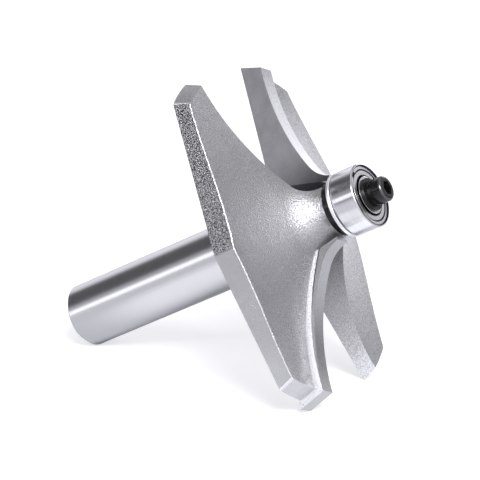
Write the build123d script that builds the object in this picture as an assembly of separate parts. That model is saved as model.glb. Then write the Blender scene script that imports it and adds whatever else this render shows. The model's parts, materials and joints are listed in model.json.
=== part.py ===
from build123d import *
import math
import os

# Two-wing carbide-tipped cove router bit with a ball-bearing guide, lying on a bench.
#
# Every piece is built about the bit's own axis: +Z points towards the guide bearing, and the origin is
# where the axis meets the back face of the head. Each wing is built at the +Y side and the other is its
# copy, turned half a turn. lay_down() then places everything as the bit rests: on the end of its shank,
# on a corner of one carbide tip and on the trailing corner of the other wing. Millimetres and degrees.

# ---- shank
shank_diameter = 12.7
shank_length = 47.9
shank_chamfer = 0.8
shank_root_fillet = 1.0

# ---- cutting profile: a large cove arc, which a small throat arc turns parallel to the axis
cove_radius = 42.8625
cove_low_radius = 31.6  # distance from the axis at which the cove runs parallel to the back face
cove_low_height = 4.78  # height of the cutting edge above the back face there
throat_arc_radius = 7.94

# ---- steel head
rim_diameter = 67.8  # at the back face
rim_taper = 21.5
edge_stand = 1.5  # how far the cutting edge stands proud of the steel behind it
neck_end = 14.6  # height of the neck's end face
upper_flat_direction = -14.7  # of the two flats that are milled on each wing's rim
upper_flat_distance = 23.27  # from the axis, at the back face
lower_flat_direction = 5.85
lower_flat_distance = 23.69
flat_taper = 10.0
head_edge_round = 0.25

# ---- gullets, one ahead of each tip, leaning with the tips
rake_direction = 72.6  # of the rake face, seen along the axis
rake_offset = 2.87  # how far the rake face passes behind the axis, at the back face
shear_angle = 11.6  # lean of the rake face along the axis
trailing_direction = 104.6  # of the wall that ends the wing ahead
trailing_offset = 0.73
gullet_core = 4.8  # distance from the axis to the floor of the gullet
gullet_fillet = 3.0
gullet_run_out = 0.5  # how far the gullet cutter runs past the neck

# ---- carbide tips
tip_thickness = 3.175
tip_reach = 35.35  # outer back corner, from the axis
tip_overhang = 0.37  # how far the tip passes the back face
tip_relief = 8.0
tip_root_front = 5.7  # where the brazed edge of the tip starts at the neck, along the rake face
tip_root_back = 10.0  # and where it ends at the back
tip_trim = 0.5  # what a tip's blank stands over before it is ground flush

# ---- pilot stud and its screw
pilot_diameter = 4.7625
pilot_recess = 0.1  # how far the stud ends below the bearing's front face
pilot_screw_hole_depth = 7.0
screw_diameter = 2.85
screw_length = 6.0
screw_head_diameter = 5.0
screw_head_height = 3.3
screw_head_rounding = 0.6
socket_width = 2.5  # across the flats
socket_depth = 1.7
socket_turn = 50.0
washer_diameter = 6.5
washer_thickness = 0.55

# ---- spacers behind the bearing
collar_diameter = 10.8
collar_length = 1.55
dust_washer_thickness = 0.72
dust_washer_boss_diameter = 7.2
dust_washer_gap = 0.2  # between the dust washer's rim and the bearing
dust_washer_margin = 0.05

# ---- guide bearing
bearing_diameter = 12.7
bearing_width = 4.978
bearing_edge_round = 0.3
ball_count = 7
ball_diameter = 2.381
inner_shoulder_diameter = 7.5
outer_shoulder_diameter = 10.0
groove_clearance = 0.02
shield_seat_diameter = 11.8
shield_thickness = 0.25
shield_crown_diameter = 10.0  # of the shield's raised middle
shield_crown_rise = 0.33
shield_gap = 0.3  # between the shield and the inner ring
snap_groove_diameter = 12.0
snap_ring_inner_diameter = 10.5
snap_ring_thickness = 0.38
snap_ring_round = 0.25  # along the outer edge of its front
snap_ring_lip = 0.22  # height of the outer ring's lip in front of the snap ring
snap_ring_play = 0.02
snap_ring_opening = 14.0  # angle of the gap between the ring's ends
snap_ring_turn = -60.0  # where the snap rings' gaps point
cage_thickness = 0.66
cage_web = 0.22
pocket_clearance = 0.08

# ---- broken edges of washers and rings
edge_break = 0.15

# ---- fits
slide_fit = 0.01  # radial, where a piece is pushed over the pilot stud or the screw
snap_fit = 0.03  # round the snap rings

# ---- derived sizes
shank_radius = shank_diameter / 2
rim_radius = rim_diameter / 2
pilot_radius = pilot_diameter / 2
bearing_radius = bearing_diameter / 2
ball_radius = ball_diameter / 2
shear = math.tan(math.radians(shear_angle))
collar_top = neck_end + collar_length
bearing_bottom = collar_top + dust_washer_thickness + dust_washer_gap
bearing_middle = bearing_bottom + bearing_width / 2
bearing_top = bearing_bottom + bearing_width
pilot_end = bearing_top - pilot_recess
screw_seat = bearing_top + washer_thickness
pitch_radius = (pilot_radius + bearing_radius) / 2


def heading(angle):
    """Unit vector in the XY plane at an angle from +X."""
    return Vector(math.cos(math.radians(angle)), math.sin(math.radians(angle)), 0)


def other_wing(shape):
    """The same shape on the other wing, half a turn round the axis."""
    return Rot(0, 0, 180) * shape


def ring(outer_radius, inner_radius, bottom, top):
    """Plain round ring about the axis between two heights."""
    body = Cylinder(outer_radius, top - bottom, align=(Align.CENTER, Align.CENTER, Align.MIN))
    hole = Cylinder(inner_radius, top - bottom, align=(Align.CENTER, Align.CENTER, Align.MIN))
    return Pos(0, 0, bottom) * (body - hole)


def widest_edges(shape, count):
    """The round edges of largest radius."""
    return shape.edges().filter_by(GeomType.CIRCLE).sort_by(SortBy.RADIUS)[-count:]


def spun(edges):
    """Solid of revolution about the axis from edges drawn as (distance from axis, height)."""
    return revolve(Plane.XZ * make_face(edges), Axis.Z)


# ---------------------------------------------------------------- cutting profile

def cove_centre():
    return Vector(cove_low_radius, cove_low_height + cove_radius)


def throat_centre():
    """Centre of the small arc, which ends in line with the bearing's rim."""
    across = bearing_radius + throat_arc_radius
    between = cove_radius - throat_arc_radius
    down = math.sqrt(between**2 - (cove_low_radius - across) ** 2)
    return Vector(across, cove_centre().Y - down)


def arc_between(centre, radius, start, end):
    """Arc about a centre, under half a turn."""
    middle = centre + ((start + end) * 0.5 - centre).normalized() * radius
    return ThreePointArc(start, middle, end)


def slant_on_cove(foot, taper, drop):
    """Where a line that leans in from the foot by the taper meets the cove, lowered by drop."""
    lean = Vector(-math.tan(math.radians(taper)), 1).normalized()
    to_foot = foot - cove_centre()
    along = to_foot.dot(lean)
    run = -along - math.sqrt(along**2 - to_foot.dot(to_foot) + (cove_radius + drop) ** 2)
    return foot + lean * run


def throat_at_height(height, drop):
    """Point of the throat arc at a height, lowered by drop square to the profile."""
    centre = throat_centre()
    across = math.sqrt((throat_arc_radius + drop) ** 2 - (centre.Y - height) ** 2)
    return Vector(centre.X - across, height)


def profile_edges(outer, inner, drop):
    """Cove and throat arcs from an outer to an inner point, lowered by drop square to the profile."""
    towards = (throat_centre() - cove_centre()).normalized()
    join = cove_centre() + towards * (cove_radius + drop)
    cove = arc_between(cove_centre(), cove_radius + drop, outer, join)
    throat = arc_between(throat_centre(), throat_arc_radius + drop, join, inner)
    return [cove, throat]


# ---------------------------------------------------------------- cutter body

def body_blank():
    """Shank, head, neck and pilot stud as turned."""
    rim_foot = Vector(rim_radius, 0)
    rim_front = slant_on_cove(rim_foot, rim_taper, edge_stand)
    neck = throat_at_height(neck_end, edge_stand)
    shank_and_rim = Polyline(
        (pilot_radius, neck_end),
        (pilot_radius, pilot_end),
        (0, pilot_end),
        (0, -shank_length),
        (shank_radius - shank_chamfer, -shank_length),
        (shank_radius, -shank_length + shank_chamfer),
        (shank_radius, -shank_root_fillet),
    )
    root_middle = heading(135) * shank_root_fillet
    root_centre = Vector(shank_radius + shank_root_fillet, -shank_root_fillet)
    root = ThreePointArc(
        (shank_radius, -shank_root_fillet),
        root_centre + root_middle,
        (shank_radius + shank_root_fillet, 0),
    )
    back_face = Polyline((shank_radius + shank_root_fillet, 0), rim_foot, rim_front)
    face_of_head = profile_edges(rim_front, neck, edge_stand)
    end_face = Line(neck, (pilot_radius, neck_end))
    return spun([shank_and_rim, root, back_face, *face_of_head, end_face])


def rim_flat(direction, distance):
    """What is milled off beyond one tapered flat of the rim."""
    outwards = heading(direction)
    lean = math.tan(math.radians(flat_taper))
    flat = Plane(origin=outwards * distance, z_dir=outwards + Vector(0, 0, lean))
    return flat * Box(rim_diameter, rim_diameter, rim_radius, align=(Align.CENTER, Align.CENTER, Align.MIN))


def front_edges(head):
    """The outer edges of the head in front of its back face."""
    inside = 0.9 * min(upper_flat_distance, lower_flat_distance)
    return [
        edge
        for edge in head.edges()
        if edge.center().Z > head_edge_round
        and math.hypot(edge.center().X, edge.center().Y) > inside
    ]


def meet(normal_a, distance_a, normal_b, distance_b):
    """Point in the XY plane at given distances along two unit normals."""
    turn = normal_a.X * normal_b.Y - normal_a.Y * normal_b.X
    x = (distance_a * normal_b.Y - distance_b * normal_a.Y) / turn
    y = (normal_a.X * distance_b - normal_b.X * distance_a) / turn
    return Vector(x, y, 0)


def gullet():
    """The leaning chip gullet between one rake face and the trailing wall of the wing ahead."""
    rake = heading(rake_direction)
    rake_normal = heading(rake_direction + 90)
    trailing = heading(trailing_direction)
    trailing_normal = heading(trailing_direction - 90)
    middle_direction = (rake_direction + trailing_direction) / 2
    floor_normal = heading(middle_direction)
    rake_root = meet(rake_normal, -rake_offset, floor_normal, gullet_core)
    trailing_root = meet(trailing_normal, -trailing_offset, floor_normal, gullet_core)
    outline = make_face(
        Polyline(
            rake_root,
            rake_root + rake * rim_diameter,
            trailing_root + trailing * rim_diameter,
            trailing_root,
            close=True,
        )
    )
    rounded = fillet(outline.vertices().sort_by_distance(trailing_root)[0], gullet_fillet)
    sideways = shear / math.cos(math.radians(middle_direction - rake_direction))
    lean = heading(middle_direction + 90) * sideways + Vector(0, 0, 1)
    return extrude(rounded, amount=(neck_end + gullet_run_out) * lean.length, dir=lean)


def cutter_body():
    body = body_blank()
    for flat in (
        rim_flat(upper_flat_direction, upper_flat_distance),
        rim_flat(lower_flat_direction, lower_flat_distance),
    ):
        body = body - flat - other_wing(flat)
    body = fillet(front_edges(body), head_edge_round)
    chip_space = gullet()
    body = body - chip_space - other_wing(chip_space)
    pocket = tip_pocket()
    body = body - pocket - other_wing(pocket)
    hole = Cylinder(
        screw_diameter / 2 + slide_fit,
        pilot_screw_hole_depth,
        align=(Align.CENTER, Align.CENTER, Align.MAX),
    )
    return body - Pos(0, 0, pilot_end) * hole


# ---------------------------------------------------------------- carbide tips

def rake_plane():
    """Rake face: X runs outwards along it, Y up it, and Z back into the wing."""
    back_into_wing = -heading(rake_direction + 90) + Vector(0, 0, shear)
    origin = heading(rake_direction + 90) * -rake_offset
    return Plane(origin=origin, x_dir=heading(rake_direction), z_dir=back_into_wing)


def up_rake_face(height):
    """Distance up the leaning rake face that reaches a height."""
    return height / math.cos(math.radians(shear_angle))


def tip_reach_on_face():
    """Place of a tip's outer back corner in the rake plane."""
    return Vector(math.sqrt(tip_reach**2 - rake_offset**2), up_rake_face(-tip_overhang))


def tip_root(height):
    """Point of the tip's brazed root line, in the rake plane, at a height up that plane."""
    front = Vector(tip_root_front, up_rake_face(neck_end))
    back = Vector(tip_root_back, up_rake_face(-tip_overhang))
    return back + (front - back) * ((height - back.Y) / (front.Y - back.Y))


def tip_outline(relief):
    """Outline of a tip in the rake plane, its ground edges drawn in by a relief, before trimming."""
    allowance = tip_thickness * shear + tip_trim
    corner = tip_reach_on_face() - Vector(relief, 0)
    bottom = corner.Y - allowance
    top = up_rake_face(neck_end) + tip_trim
    outer_back = Vector(corner.X + allowance * math.tan(math.radians(rim_taper)), bottom)
    outer_front = slant_on_cove(outer_back, rim_taper, relief)
    inner_front = throat_at_height(top, relief)
    edge = profile_edges(outer_front, inner_front, relief)
    rest = Polyline(inner_front, tip_root(top), tip_root(bottom), outer_back, outer_front)
    return make_face([*edge, rest])


def carbide_tip():
    relief = tip_thickness * math.tan(math.radians(tip_relief))
    face = rake_plane() * tip_outline(0)
    back = rake_plane().offset(tip_thickness) * tip_outline(relief)
    blank = loft([face, back], ruled=True)
    slab_height = neck_end + tip_overhang
    slab = Pos(0, 0, -tip_overhang) * Box(
        2 * rim_diameter,
        2 * rim_diameter,
        slab_height,
        align=(Align.CENTER, Align.CENTER, Align.MIN),
    )
    return blank & slab


def tip_pocket():
    """What is milled out of a wing for its tip."""
    low = up_rake_face(-tip_overhang) - tip_thickness
    high = up_rake_face(neck_end) + tip_thickness
    outline = make_face(
        Polyline(tip_root(low), tip_root(high), (rim_diameter, high), (rim_diameter, low), close=True)
    )
    return extrude(rake_plane() * outline, amount=tip_thickness, dir=rake_plane().z_dir)


# ---------------------------------------------------------------- spacers and screw

def spacer_collar():
    return ring(collar_diameter / 2, pilot_radius + slide_fit, neck_end, collar_top)


def dust_washer():
    """Washer nearly as wide as the bearing, touching only its inner ring with a low boss."""
    rim_top = collar_top + dust_washer_thickness
    plate = ring(bearing_radius - dust_washer_margin, pilot_radius + slide_fit, collar_top, rim_top)
    plate = fillet(widest_edges(plate, 2), edge_break)
    boss = ring(dust_washer_boss_diameter / 2, pilot_radius + slide_fit, rim_top, bearing_bottom)
    return plate + boss


def retaining_washer():
    washer = ring(washer_diameter / 2, screw_diameter / 2 + slide_fit, bearing_top, screw_seat)
    front_rim = widest_edges(washer, 2).sort_by(Axis.Z)[-1]
    return fillet(front_rim, edge_break)


def retaining_screw():
    head_radius = screw_head_diameter / 2
    head_top = screw_seat + screw_head_height
    head = Pos(0, 0, screw_seat) * Cylinder(
        head_radius, screw_head_height, align=(Align.CENTER, Align.CENTER, Align.MIN)
    )
    head = fillet(head.edges().sort_by(Axis.Z)[-1], screw_head_rounding)
    outline = Rot(0, 0, socket_turn) * RegularPolygon(socket_width / 2, 6, major_radius=False)
    socket = extrude(outline, amount=-socket_depth)
    shank = Cylinder(
        screw_diameter / 2, screw_length, align=(Align.CENTER, Align.CENTER, Align.MAX)
    )
    return head - Pos(0, 0, head_top) * socket + Pos(0, 0, screw_seat) * shank


# ---------------------------------------------------------------- guide bearing

def shield_seat_depth():
    return snap_ring_lip + snap_ring_play + snap_ring_thickness + shield_thickness


def both_ends(shape):
    """A bearing feature and its mirror image at the bearing's other face."""
    return shape + mirror(shape, Plane.XY)


def ball_track():
    return Torus(pitch_radius, ball_radius + groove_clearance)


def bearing_outer_ring():
    half = bearing_width / 2
    body = ring(bearing_radius, outer_shoulder_diameter / 2, -half, half)
    body = fillet(widest_edges(body, 2), bearing_edge_round)
    seat_bottom = half - shield_seat_depth()
    seat = ring(shield_seat_diameter / 2, pilot_radius, seat_bottom, half)
    groove_bottom = seat_bottom + shield_thickness
    groove = ring(snap_groove_diameter / 2, pilot_radius, groove_bottom, half - snap_ring_lip)
    return body - both_ends(seat) - both_ends(groove) - ball_track()


def bearing_inner_ring():
    half = bearing_width / 2
    body = ring(inner_shoulder_diameter / 2, pilot_radius + slide_fit, -half, half)
    body = fillet(widest_edges(body, 2), edge_break)
    return body - ball_track()


def bearing_shield():
    """Pressed shield at the bearing's front: a flange under the snap ring and a raised middle."""
    bottom = bearing_width / 2 - shield_seat_depth()
    flange_front = bottom + shield_thickness
    crown_back = bottom + shield_crown_rise
    crown_front = crown_back + shield_thickness
    outer = shield_seat_diameter / 2 - slide_fit
    crown = shield_crown_diameter / 2
    inner = inner_shoulder_diameter / 2 + shield_gap
    outline = Polyline(
        (outer, bottom),
        (outer, flange_front),
        (crown, flange_front),
        (crown, crown_front),
        (inner, crown_front),
        (inner, crown_back),
        (crown - shield_thickness, crown_back),
        (crown - shield_thickness, bottom),
        close=True,
    )
    shield = spun([outline])
    crown_edge = shield.edges().filter_by(GeomType.CIRCLE).group_by(Axis.Z)[-1].sort_by(SortBy.RADIUS)[-1]
    return fillet(crown_edge, edge_break)


def snap_ring():
    """Split ring that holds the front shield."""
    bottom = bearing_width / 2 - shield_seat_depth() + shield_thickness
    outer = snap_groove_diameter / 2 - snap_fit
    whole = ring(outer, snap_ring_inner_diameter / 2, bottom, bottom + snap_ring_thickness)
    front_rim = widest_edges(whole, 2).sort_by(Axis.Z)[-1]
    whole = fillet(front_rim, snap_ring_round)
    gap_width = 2 * outer * math.sin(math.radians(snap_ring_opening / 2))
    gap = Box(outer, gap_width, bearing_width, align=(Align.MIN, Align.CENTER, Align.CENTER))
    return whole - Pos(outer / 2, 0, bottom) * gap


def ball_places():
    return [heading(360 / ball_count * number) * pitch_radius for number in range(ball_count)]


def bearing_cage():
    half = ball_radius + pocket_clearance + cage_web
    cage = ring(pitch_radius + cage_thickness / 2, pitch_radius - cage_thickness / 2, -half, half)
    for place in ball_places():
        pocket = Cylinder(ball_radius + pocket_clearance, 2 * cage_thickness)
        cage = cage - Plane(origin=place, z_dir=place) * pocket
    return cage


def bearing_pieces():
    """Every piece of the guide bearing, about its own middle."""
    front_shield = bearing_shield()
    front_ring = Rot(0, 0, snap_ring_turn) * snap_ring()
    pieces = {
        "bearing_outer_ring": bearing_outer_ring(),
        "bearing_inner_ring": bearing_inner_ring(),
        "bearing_cage": bearing_cage(),
        "front_shield": front_shield,
        "rear_shield": mirror(front_shield, Plane.XY),
        "front_snap_ring": front_ring,
        "rear_snap_ring": mirror(front_ring, Plane.XY),
    }
    for number, place in enumerate(ball_places(), start=1):
        pieces[f"ball_{number}"] = Pos(place) * Sphere(ball_radius)
    return pieces


# ---------------------------------------------------------------- whole bit

def pieces_about_axis():
    tip = carbide_tip()
    pieces = {
        "cutter_body": cutter_body(),
        "lower_carbide_tip": tip,
        "upper_carbide_tip": other_wing(tip),
        "spacer_collar": spacer_collar(),
        "dust_washer": dust_washer(),
        "retaining_washer": retaining_washer(),
        "retaining_screw": retaining_screw(),
    }
    for name, piece in bearing_pieces().items():
        pieces[name] = Pos(0, 0, bearing_middle) * piece
    return pieces


def tip_corner():
    """Outer back corner of the lower tip, on which the bit rests."""
    corner = tip_reach_on_face()
    return rake_plane().from_local_coords(Vector(corner.X, corner.Y, 0))


def trailing_corner():
    """Back corner of the other wing's trailing edge, across the gullet from the lower tip."""
    along = math.sqrt(rim_radius**2 - trailing_offset**2)
    return heading(trailing_direction) * along - heading(trailing_direction - 90) * trailing_offset


def bench_plane():
    """Plane through both corners that touches the rim of the shank's end; its normal is up."""
    corner = tip_corner()
    across = (trailing_corner() - corner).normalized()
    towards_axis = (across * corner.dot(across) - corner).normalized()
    along_bit = towards_axis.cross(across)
    if along_bit.Z < 0:
        along_bit = along_bit * -1
    shank_rim = Vector(0, 0, shank_chamfer - shank_length)

    def up(angle):
        return towards_axis * math.cos(angle) + along_bit * math.sin(angle)

    def shank_height(angle):
        normal = up(angle)
        lowest = normal.dot(shank_rim) - shank_radius * math.hypot(normal.X, normal.Y)
        return lowest - normal.dot(corner)

    steep, flat = 0.0, math.pi / 2
    for _ in range(60):
        middle = (steep + flat) / 2
        if shank_height(middle) > 0:
            steep = middle
        else:
            flat = middle
    normal = up(steep)
    forwards = Vector(0, 0, 1) - normal * normal.Z
    return Plane(origin=corner, x_dir=forwards, z_dir=normal)


def lay_down(pieces):
    """Location that puts the pieces on the bench, with the origin under the middle of their box."""
    onto_bench = bench_plane().location.inverse()
    box = (onto_bench * Compound([*pieces.values()])).bounding_box()
    middle = box.center()
    return Pos(-middle.X, -middle.Y, -box.min.Z) * onto_bench


pieces = pieces_about_axis()
placement = lay_down(pieces)
os.makedirs("parts", exist_ok=True)
for name, piece in pieces.items():
    export_step(placement * piece, f"parts/{name}.step")
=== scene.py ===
import json
import math

import bpy
from mathutils import Matrix, Vector

# Studio scene for the router bit. Metres; materials work in the bit's own axes, in millimetres:
# origin on the back face of the head, Z along the bit towards the guide bearing, and X towards ball_1.

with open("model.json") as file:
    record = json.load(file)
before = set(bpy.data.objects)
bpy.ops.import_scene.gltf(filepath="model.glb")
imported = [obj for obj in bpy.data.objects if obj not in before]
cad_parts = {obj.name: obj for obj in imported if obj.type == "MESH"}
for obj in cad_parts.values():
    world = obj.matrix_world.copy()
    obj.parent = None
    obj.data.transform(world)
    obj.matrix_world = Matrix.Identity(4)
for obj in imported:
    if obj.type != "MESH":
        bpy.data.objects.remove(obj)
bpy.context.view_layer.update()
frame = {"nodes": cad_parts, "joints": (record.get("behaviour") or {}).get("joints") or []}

MM = 0.001

# ---- camera
CAMERA_PLACE = (0.21448, -0.41209, 0.14990)
CAMERA_TARGET = (0.002403, 0.000673, 0.026128)
CAMERA_ROLL = 2.33  # degrees
CAMERA_LENS = 186.83
CAMERA_SENSOR = 36.0

# ---- sizes of the bit that the materials follow
BEARING_MIDDLE = 19.559  # height of the bearing's middle over the back face
SHANK_RADIUS = 6.35
UPPER_FLAT = (-14.7, 23.27)  # direction and distance from the axis
LOWER_FLAT = (5.85, 23.69)
FLAT_TAPER = 10.0
RIM_FOOT = 33.7  # just inside the rim's radius at the back face
RIM_TAPER = 21.5
RIM_CORNER = 61.0  # direction of the rim's corner beside the lower flat
RIM_CORNER_START = 30.5  # distance from the axis in that direction
SCREW_HEAD_TOP = 25.898
WALL_DIRECTION = (0.967, 0.255, 0)  # across the walls of the gullets
RAKE_DIRECTION = (0.955, -0.297, 0)  # across the rake faces
TIP_BACK = (0.93, -0.29, 0)  # across the backs of the tips
TIP_BACK_LEAN = 0.2
TIP_BACK_DISTANCE = 6.0
SEAM_LOW_RADIUS = 31.6  # the braze seam on the back of a tip: height over the back face against radius
SEAM_BASE = 3.48
SEAM_RISE = 0.04
SEAM_BEND = 0.01235

# ---- finish
COOL = 1.04  # blue against red in bright metal
BLASTED_GRAIN = 0.24  # width of the blasted grain
BLASTED_RELIEF = 0.11  # and its height
SPECKLE_GRAIN = 0.2
SPECKLE_RELIEF = 0.12
GROUND_RELIEF = 0.002
GROOVE_SHADE_GREY = 0.05  # grey of the painted shade in the bearing's grooves and gaps

# ---- surroundings
ROOM_LEVEL = 0.06
SKY_LEVEL = 0.15
DARKEST_LEVEL = 0.04
PANELS = (  # azimuth (counter-clockwise from +X), elevation, angles between which it fades, level
    (91, 6, 8, 30, 2.3),  # white backdrop behind the head
    (-30, 12, 8, 38, 0.8),  # large soft panel on the right of the camera
    (-75, 10, 10, 35, 0.6),  # reflector below the camera
    (-50, 45, 12, 34, 1.2),  # spread about the key light
    (5, 38, 10, 42, 0.4),  # weak fill from above, on the right
    (125, 38, 10, 42, 0.35),  # and from behind
    (138, 12, 8, 34, 0.7),  # panel behind the shank
    (-85, 40, 6, 24, 1.0),  # panel over the camera
    (62, 24, 3, 12, 0.8),  # small lamp behind the far wing
    (-158, -2, 8, 22, 0.4),  # low fill on the left
    (-132, 4, 2.5, 10, 2.1),  # low strip on the left, which draws the shank's bright line
    (-141, 12, 2, 12, 0.4),  # its weak edge
    (-112, 22, 3, 9, 1.7),  # small lamp over the camera's left
)
FLOOR_SIZE = 4.0
FLOOR_GREY = 0.55
FLOOR_GLOW = 0.6  # added for the camera, so that the floor is white away from the shadows
# Brighter places on the floor that only the metal reflects: middle, radii between which it fades, level
FRONT_POOL = ((0.005, -0.032, 0.0), 0.026, 0.042, 0.4)
SIDE_POOL = ((0.036, -0.008, 0.0), 0.012, 0.025, 0.6)
FAR_POOL = ((-0.05, 0.2, 0.0), 0.12, 0.2, 1.1)
LAMP_DISTANCE = 0.9


# ---------------------------------------------------------------- the bit's own axes

def joint(name):
    return next(j for j in frame["joints"] if j["name"] == name)


def bit_axes():
    """Matrix from the bit's own axes to the frame, in metres."""
    spin = joint("outer_ring_spin")
    along = Vector(spin["axis"]).normalized()
    middle = Vector(spin["pos_m"])
    sideways = Vector(joint("ball_1_spin")["pos_m"]) - middle
    sideways = (sideways - along * sideways.dot(along)).normalized()
    matrix = Matrix((sideways, along.cross(sideways), along)).transposed().to_4x4()
    matrix.translation = middle - along * BEARING_MIDDLE * MM
    return matrix


BIT = bit_axes()


def direction(azimuth, elevation):
    """Unit vector at two angles in degrees."""
    a, e = math.radians(azimuth), math.radians(elevation)
    return Vector((math.cos(a) * math.cos(e), math.sin(a) * math.cos(e), math.sin(e)))


def slope(angle):
    return math.tan(math.radians(angle))


def grey(value):
    """Neutral grey with the cool cast of bright metal."""
    return (value, value, value * COOL, 1.0)


# ---------------------------------------------------------------- node helpers

class Nodes:
    """Short names for building one node tree."""

    def __init__(self, tree):
        self.tree = tree
        tree.nodes.clear()

    def add(self, kind, inputs=None, **settings):
        node = self.tree.nodes.new(kind)
        for name, value in settings.items():
            setattr(node, name, value)
        for name, value in (inputs or {}).items():
            self.put(node.inputs[name], value)
        return node

    def put(self, socket, value):
        if isinstance(value, bpy.types.NodeSocket):
            self.tree.links.new(value, socket)
        else:
            socket.default_value = value

    def math(self, operation, a, b=0.0):
        return self.add("ShaderNodeMath", {0: a, 1: b}, operation=operation).outputs[0]

    def times(self, first, *others):
        """Product of two values or more."""
        for other in others:
            first = self.math("MULTIPLY", first, other)
        return first

    def lack(self, value):
        """What a value lacks to 1."""
        return self.math("SUBTRACT", 1.0, value)

    def vector_math(self, operation, a, b):
        return self.add("ShaderNodeVectorMath", {0: a, 1: b}, operation=operation)

    def dot(self, vector, fixed):
        return self.vector_math("DOT_PRODUCT", vector, tuple(fixed)).outputs["Value"]

    def distance(self, vector, fixed):
        return self.vector_math("DISTANCE", vector, fixed).outputs["Value"]

    def ramp(self, value, low, high, start=0.0, end=1.0):
        """Smooth step of a value between two limits."""
        inputs = {"Value": value, "From Min": low, "From Max": high, "To Min": start, "To Max": end}
        return self.add("ShaderNodeMapRange", inputs, interpolation_type="SMOOTHSTEP").outputs[0]

    def blend(self, factor, a, b):
        """Blend of two numbers."""
        return self.add("ShaderNodeMix", {0: factor, 2: a, 3: b}, data_type="FLOAT").outputs[0]

    def mix(self, factor, a, b, blend_type="MIX"):
        """Blend of two colours."""
        inputs = {0: factor, 6: a, 7: b}
        return self.add("ShaderNodeMix", inputs, data_type="RGBA", blend_type=blend_type).outputs[2]

    def darken(self, colour, factor):
        level = self.add("ShaderNodeCombineColor", {0: factor, 1: factor, 2: factor}).outputs[0]
        return self.mix(1.0, colour, level, "MULTIPLY")

    def mapped(self, vector, kind="POINT", **places):
        """The vector moved, turned or scaled."""
        return self.add("ShaderNodeMapping", {"Vector": vector, **places}, vector_type=kind).outputs[0]

    def noise(self, vector, size, detail=3.0, roughness=0.5):
        """Noise with features of about the given size in the vector's unit."""
        inputs = {"Vector": vector, "Scale": 1.0 / size, "Detail": detail, "Roughness": roughness}
        return self.add("ShaderNodeTexNoise", inputs).outputs["Fac"]

    def bump(self, height, strength, distance):
        inputs = {"Height": height, "Strength": strength, "Distance": distance}
        return self.add("ShaderNodeBump", inputs).outputs["Normal"]


class Surface(Nodes):
    """A material with a Principled shader, and places in the bit's own axes in millimetres."""

    def __init__(self, name):
        self.material = bpy.data.materials.new(name)
        self.material.use_nodes = True
        super().__init__(self.material.node_tree)
        self.shader = self.add("ShaderNodeBsdfPrincipled")
        self.add("ShaderNodeOutputMaterial", {"Surface": self.shader.outputs["BSDF"]})
        self.turn = BIT.to_euler("XYZ")
        place = self.add("ShaderNodeTexCoord").outputs["Object"]
        self.place = self.mapped(
            place, "TEXTURE", Location=BIT.translation, Rotation=self.turn, Scale=(MM, MM, MM)
        )
        self.x, self.y, self.z = self.add("ShaderNodeSeparateXYZ", {"Vector": self.place}).outputs
        squares = self.math("ADD", self.times(self.x, self.x), self.times(self.y, self.y))
        self.radius = self.math("SQRT", squares)
        self.normal = self.add("ShaderNodeNewGeometry").outputs["Normal"]

    def facing(self, vector):
        """How far the surface faces along a direction of the bit's own axes."""
        return self.dot(self.normal, BIT.to_3x3() @ Vector(vector))

    def facing_either_way(self, vector):
        return self.math("ABSOLUTE", self.facing(vector))

    def along(self, azimuth):
        """Distance from the axis in a direction, for both wings."""
        return self.math("ABSOLUTE", self.dot(self.place, direction(azimuth, 0)))

    def beyond(self, flat):
        """Distance outside the plane of a rim flat, for both wings."""
        azimuth, distance = flat
        outside = self.math("ADD", self.along(azimuth), self.times(self.z, slope(FLAT_TAPER)))
        return self.math("SUBTRACT", outside, distance)

    def across_marks(self):
        """Direction on the surface that crosses the marks turned round the axis."""
        round_axis = self.add("ShaderNodeCombineXYZ", {"X": self.times(self.y, -1.0), "Y": self.x})
        in_object = self.mapped(round_axis.outputs[0], "VECTOR", Rotation=self.turn)
        in_world = self.add(
            "ShaderNodeVectorTransform", {"Vector": in_object},
            vector_type="VECTOR", convert_from="OBJECT", convert_to="WORLD",
        )
        return self.vector_math("CROSS_PRODUCT", self.normal, in_world.outputs[0]).outputs[0]

    def finish(self, **inputs):
        for name, value in inputs.items():
            self.put(self.shader.inputs[name.replace("_", " ")], value)
        return self.material


# ---------------------------------------------------------------- materials

def painted_shade_beside_tips(s):
    """How dark the painted shade makes the steel behind the tips, and most behind the lower one."""
    across = s.dot(s.place, TIP_BACK)
    from_tip = s.math("ADD", s.math("ABSOLUTE", across), s.times(s.z, TIP_BACK_LEAN))
    wide = s.ramp(from_tip, TIP_BACK_DISTANCE, TIP_BACK_DISTANCE + 8.0, 1.0, 0.0)
    shade = s.times(wide, s.ramp(s.radius, 16.0, 28.0, 0.1, 0.62))
    close = s.ramp(from_tip, TIP_BACK_DISTANCE, TIP_BACK_DISTANCE + 4.0, 1.0, 0.0)
    close = s.times(close, s.ramp(s.radius, 12.0, 18.0, 0.0, 0.35))
    shade = s.math("MAXIMUM", shade, s.math("ADD", s.times(shade, 0.6), close))
    return s.times(shade, s.ramp(across, -1.0, 1.0, 0.3, 1.0))


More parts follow.
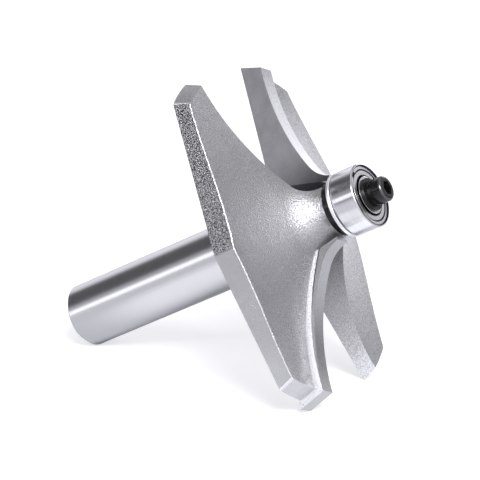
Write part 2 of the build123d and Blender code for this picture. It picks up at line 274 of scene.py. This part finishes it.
def body_steel():
    """Bead-blasted head, coarser on its upper rim flats, on a ground shank."""
    s = Surface("blasted_and_ground_steel")
    up = s.facing((0, 0, 1))
    past_upper, past_lower = s.beyond(UPPER_FLAT), s.beyond(LOWER_FLAT)
    upper = s.ramp(past_upper, -0.12, -0.06)
    lower = s.ramp(past_lower, -0.12, -0.06)
    edge = s.math("MAXIMUM", s.ramp(past_upper, -0.4, -0.3), s.ramp(past_lower, -0.4, -0.3, 0.0, 0.5))
    edge = s.times(edge, s.ramp(up, 0.25, 0.35), s.ramp(up, 0.93, 0.88))
    to_corner = s.along(RIM_CORNER)
    cone = s.math("ADD", s.radius, s.times(s.z, slope(RIM_TAPER)))
    corner = s.times(
        s.ramp(cone, RIM_FOOT, RIM_FOOT + 0.1),
        s.ramp(to_corner, RIM_CORNER_START, RIM_CORNER_START + 0.5),
    )
    shank = s.times(
        s.ramp(s.z, -0.35, -0.2, 1.0, 0.0),
        s.ramp(s.radius, SHANK_RADIUS + 0.05, SHANK_RADIUS + 0.25, 1.0, 0.0),
    )
    head = s.lack(shank)
    wall = s.ramp(s.facing_either_way(WALL_DIRECTION), 0.9, 0.95)
    rake = s.ramp(s.facing_either_way(RAKE_DIRECTION), 0.93, 0.96)

    fine = s.noise(s.place, BLASTED_GRAIN, 2.0)
    coarse = s.noise(s.place, SPECKLE_GRAIN, 2.0, 0.6)
    cloudy = s.noise(s.place, 6.0)
    rings = s.noise(s.mapped(s.place, Scale=(0.05, 0.05, 9.0)), 1.0, 3.0, 0.6)

    colour = s.mix(s.ramp(cloudy, 0.3, 0.7), grey(0.33), grey(0.375))
    colour = s.mix(s.ramp(fine, 0.35, 0.65), colour, grey(0.48))
    # the upper flat's coarse speckled grain, and darker than the other faces as painted shade
    colour = s.mix(upper, colour, s.mix(s.ramp(coarse, 0.4, 0.6), grey(0.03), grey(0.52)))
    # the lower flat darker towards the rim corner: painted shade
    colour = s.mix(lower, colour, s.mix(s.ramp(to_corner, 18.0, 33.0), grey(0.40), grey(0.31)))
    colour = s.mix(corner, colour, grey(0.54))
    # painted highlight: a light line along the rounded edges of the rim flats, half as strong on the
    # lower flat
    colour = s.mix(edge, colour, grey(0.85))
    # painted shade and painted light on the gullet walls: darker towards the axis, lighter towards the
    # rim
    wall_shade_and_light = s.math("ADD", s.times(s.radius, 0.031), s.ramp(s.radius, 26.0, 32.0, 0.35, 0.6))
    colour = s.darken(colour, s.blend(wall, 1.0, wall_shade_and_light))
    # painted shade on the steel beside the tips' backs, left off the rim corner
    colour = s.darken(colour, s.lack(s.times(painted_shade_beside_tips(s), s.lack(corner))))
    # painted shade: the steel faces in line with the rake faces, darker towards the axis
    colour = s.darken(colour, s.blend(rake, 1.0, s.ramp(s.radius, 3.0, 22.0, 0.1, 0.8)))
    colour = s.mix(shank, colour, s.mix(rings, grey(0.63), grey(0.73)))

    blasted = s.math("SUBTRACT", s.ramp(fine, 0.4, 0.6, 0.6, 0.3), s.times(edge, 0.15))
    ground = s.ramp(rings, 0.3, 0.7, 0.2, 0.25)
    rough = s.math("ADD", s.times(blasted, head), s.times(ground, shank))

    relief = s.times(fine, BLASTED_RELIEF, head)
    relief = s.math("ADD", relief, s.times(coarse, SPECKLE_RELIEF, upper))
    relief = s.math("ADD", relief, s.times(rings, GROUND_RELIEF, shank))
    return s.finish(Base_Color=colour, Metallic=1.0, Roughness=rough, Normal=s.bump(relief, 1.0, MM))


def ground_carbide(name, at_neck, at_rim):
    """Rake faces dull, lands bright from the wheel, backs partly under bright braze.

    The two greys are those of the land at the neck and at the rim; they differ from tip to tip as
    painted light and shade.
    """
    s = Surface(name)
    flank = s.ramp(s.facing_either_way(RAKE_DIRECTION), 0.75, 0.88)
    back = s.times(flank, s.ramp(s.facing((0, 0, 1)), 0.0, 0.1))
    inward = s.math("SUBTRACT", SEAM_LOW_RADIUS, s.radius)
    seam = s.math("ADD", s.times(inward, inward, SEAM_BEND), s.times(s.radius, SEAM_RISE))
    over_seam = s.math("SUBTRACT", s.math("SUBTRACT", s.z, seam), SEAM_BASE)
    wobble = s.times(s.math("SUBTRACT", s.noise(s.place, 0.9, 2.0), 0.5), 0.3)
    over_seam = s.math("ADD", over_seam, wobble)
    braze = s.times(back, s.ramp(over_seam, -0.1, 0.0, 1.0, 0.0))
    gap = s.times(s.ramp(over_seam, -0.05, 0.05), s.ramp(over_seam, 0.15, 0.3, 1.0, 0.0))
    gap = s.times(gap, back, s.ramp(s.radius, 13.0, 20.0, 1.0, 0.0))

    cloudy = s.noise(s.place, 3.0)
    grain = s.noise(s.place, 0.22, 2.0, 0.6)
    scratches = s.noise(s.mapped(s.place, Scale=(14.0, 0.6, 14.0)), 1.0, 3.0, 0.6)
    rake = s.mix(s.ramp(cloudy, 0.3, 0.7), grey(0.44), grey(0.52))
    # painted shade: the rake face darker towards the axis
    rake = s.darken(rake, s.ramp(s.radius, 3.0, 16.0, 0.25, 1.0))
    # painted light and shade: the land's grey runs from neck to rim, with its own pair of greys on each
    # tip
    land = s.mix(s.ramp(s.radius, 10.0, 26.0), grey(at_neck), grey(at_rim))
    land = s.darken(land, s.ramp(scratches, 0.3, 0.7, 0.93, 1.07))
    colour = s.mix(flank, land, rake)
    colour = s.mix(back, colour, grey(0.3))
    colour = s.mix(gap, colour, grey(0.08))
    colour = s.mix(braze, colour, grey(0.8))
    rough = s.math("SUBTRACT", s.ramp(scratches, 0.3, 0.7, 0.26, 0.36), s.times(braze, 0.08))
    relief = s.math("ADD", s.times(grain, 0.02), s.times(scratches, 0.006))
    return s.finish(Base_Color=colour, Metallic=1.0, Roughness=rough, Normal=s.bump(relief, 1.0, MM))


def polished_steel(name, low, high, dull=0.0, grooves=()):
    """Bearing steel with fine marks round the axis; grooves are bands of radius painted dark as the
    shade in the bearing's grooves and gaps.
    """
    s = Surface(name)
    rings = s.add("ShaderNodeCombineXYZ", {"X": s.radius, "Z": s.z}).outputs[0]
    marks = s.noise(rings, 0.09, 3.0, 0.6)
    smudge = s.noise(s.place, 2.5)
    colour = s.mix(s.ramp(marks, 0.3, 0.7), grey(low), grey(high))
    for inner, outer in grooves:
        # painted shade: bands of radius darkened where the bearing's grooves and gaps lie in shadow
        dark = s.times(
            s.ramp(s.radius, inner - 0.03, inner),
            s.ramp(s.radius, outer, outer + 0.03, 1.0, 0.0),
        )
        colour = s.mix(dark, colour, grey(GROOVE_SHADE_GREY))
    return s.finish(
        Base_Color=colour,
        Metallic=1.0,
        Roughness=s.ramp(smudge, 0.3, 0.7, 0.15 + dull, 0.22 + dull),
        Normal=s.bump(marks, 0.5, 0.002 * MM),
        Anisotropic=0.5,
        Tangent=s.across_marks(),
    )


def black_oxide():
    """Black screw, washer and collar, worn to metal along the rim of the screw's head."""
    s = Surface("black_oxide")
    grain = s.noise(s.place, 0.12, 2.0, 0.6)
    smudge = s.noise(s.place, 1.2)
    up = s.facing((0, 0, 1))
    worn = s.times(
        s.ramp(s.z, SCREW_HEAD_TOP - 0.7, SCREW_HEAD_TOP - 0.5),
        s.ramp(s.radius, 1.8, 1.9),
        s.ramp(up, 0.98, 0.9),
        s.ramp(up, 0.1, 0.3, 0.0, 0.8),
    )
    colour = s.mix(s.ramp(smudge, 0.3, 0.7), grey(0.004), grey(0.01))
    return s.finish(
        Base_Color=s.mix(worn, colour, grey(0.14)),
        Metallic=worn,
        Roughness=s.ramp(smudge, 0.3, 0.7, 0.1, 0.16),
        Specular_IOR_Level=0.33,
        Normal=s.bump(grain, 0.6, 0.003 * MM),
    )


def dress(material, *nodes):
    for node in nodes:
        mesh = frame["nodes"][node].data
        mesh.materials.clear()
        mesh.materials.append(material)


def dress_all():
    dress(body_steel(), "cutter_body")
    # the lower tip's land is darker towards the rim and the upper tip's lighter: painted shade and
    # painted light
    dress(ground_carbide("lower_tip_carbide", 0.54, 0.40), "lower_carbide_tip")
    dress(ground_carbide("upper_tip_carbide", 0.5, 0.68), "upper_carbide_tip")
    dress(black_oxide(), "spacer_collar", "retaining_washer", "retaining_screw")
    dress(polished_steel("bright_washer", 0.95, 1.0, 0.26), "dust_washer")
    dress(polished_steel("outer_ring_steel", 0.66, 0.74, 0.0, [(5.0, 5.97)]), "bearing_outer_ring")
    dress(polished_steel("inner_ring_steel", 0.74, 0.82, 0.0, [(3.7, 4.5)]), "bearing_inner_ring")
    shield = polished_steel("shield_steel", 0.6, 0.7, 0.12, [(3.9, 4.12), (4.97, 6.2)])
    dress(shield, "front_shield", "rear_shield")
    snap_ring = polished_steel("snap_ring_steel", 0.7, 0.8, 0.05, [(5.82, 6.5)])
    dress(snap_ring, "front_snap_ring", "rear_snap_ring")
    dress(polished_steel("cage_steel", 0.58, 0.68, 0.12), "bearing_cage")
    balls = [name for name in frame["nodes"] if name.startswith("ball_")]
    dress(polished_steel("bearing_ball", 0.72, 0.8), *balls)


# ---------------------------------------------------------------- surroundings

def panel(n, ray, azimuth, elevation, inner, outer, level):
    """Light of the surroundings round one direction, fading between two angles from it."""
    near = n.dot(ray, direction(azimuth, elevation))
    spread = n.ramp(near, math.cos(math.radians(outer)), math.cos(math.radians(inner)))
    return n.times(spread, level)


def surroundings():
    """White to the camera; to the object, a dim room with bright panels."""
    world = bpy.data.worlds.new("studio")
    bpy.context.scene.world = world
    world.use_nodes = True
    n = Nodes(world.node_tree)
    ray = n.add("ShaderNodeTexCoord").outputs["Generated"]
    level = n.ramp(n.dot(ray, (0, 0, 1)), -0.1, 0.9, ROOM_LEVEL, SKY_LEVEL)
    for values in PANELS:
        level = n.math("ADD", level, panel(n, ray, *values))
    level = n.math("MAXIMUM", level, DARKEST_LEVEL)
    seen = n.add("ShaderNodeLightPath").outputs["Is Camera Ray"]
    inputs = {"Color": grey(1.0), "Strength": n.blend(seen, level, 1.0)}
    background = n.add("ShaderNodeBackground", inputs)
    n.add("ShaderNodeOutputWorld", {"Surface": background.outputs[0]})


def pool(n, place, middle, inner, outer, level):
    """Brighter round place on the floor, fading between two radii."""
    return n.ramp(n.distance(place, middle), inner, outer, level, 0.0)


def studio_floor():
    bpy.ops.mesh.primitive_plane_add(size=FLOOR_SIZE)
    floor = bpy.context.object
    floor.name = "floor"
    material = bpy.data.materials.new("white_floor")
    material.use_nodes = True
    n = Nodes(material.node_tree)
    place = n.add("ShaderNodeTexCoord").outputs["Object"]
    near = n.math("MAXIMUM", pool(n, place, *FRONT_POOL), pool(n, place, *SIDE_POOL))
    reflected = n.math("ADD", near, pool(n, place, *FAR_POOL))
    path = n.add("ShaderNodeLightPath").outputs
    seen = n.times(path["Is Camera Ray"], FLOOR_GLOW)
    strength = n.math("ADD", seen, n.times(path["Is Glossy Ray"], reflected))
    glow = n.add("ShaderNodeEmission", {"Color": (0.985, 0.985, 1.0, 1.0), "Strength": strength})
    paper = n.add("ShaderNodeBsdfDiffuse", {"Color": grey(FLOOR_GREY)})
    both = n.add("ShaderNodeAddShader", {0: paper.outputs[0], 1: glow.outputs[0]})
    n.add("ShaderNodeOutputMaterial", {"Surface": both.outputs[0]})
    floor.data.materials.append(material)


def soft_light(name, azimuth, elevation, size, power):
    """Round softbox that faces the object."""
    data = bpy.data.lights.new(name, "AREA")
    data.shape = "DISK"
    data.size = size
    data.energy = power
    lamp = bpy.data.objects.new(name, data)
    bpy.context.scene.collection.objects.link(lamp)
    way = direction(azimuth, elevation)
    lamp.location = Vector(CAMERA_TARGET) + way * LAMP_DISTANCE
    lamp.rotation_euler = way.to_track_quat("Z", "Y").to_euler()


def camera():
    data = bpy.data.cameras.new("camera")
    data.lens = CAMERA_LENS
    data.sensor_width = CAMERA_SENSOR
    data.clip_start = 0.01
    data.clip_end = 10.0
    eye = bpy.data.objects.new("camera", data)
    bpy.context.scene.collection.objects.link(eye)
    eye.location = CAMERA_PLACE
    look = Vector(CAMERA_TARGET) - Vector(CAMERA_PLACE)
    roll = Matrix.Rotation(math.radians(CAMERA_ROLL), 3, "Z")
    turn = look.to_track_quat("-Z", "Y").to_matrix() @ roll
    eye.rotation_euler = turn.to_euler()
    bpy.context.scene.camera = eye


dress_all()
surroundings()
studio_floor()
soft_light("key", -50, 45, 0.38, 7.5)
soft_light("spark", -91, 28, 0.05, 0.8)
soft_light("top", 60, 75, 0.8, 1.0)
camera()
bpy.context.scene.view_settings.view_transform = "Standard"
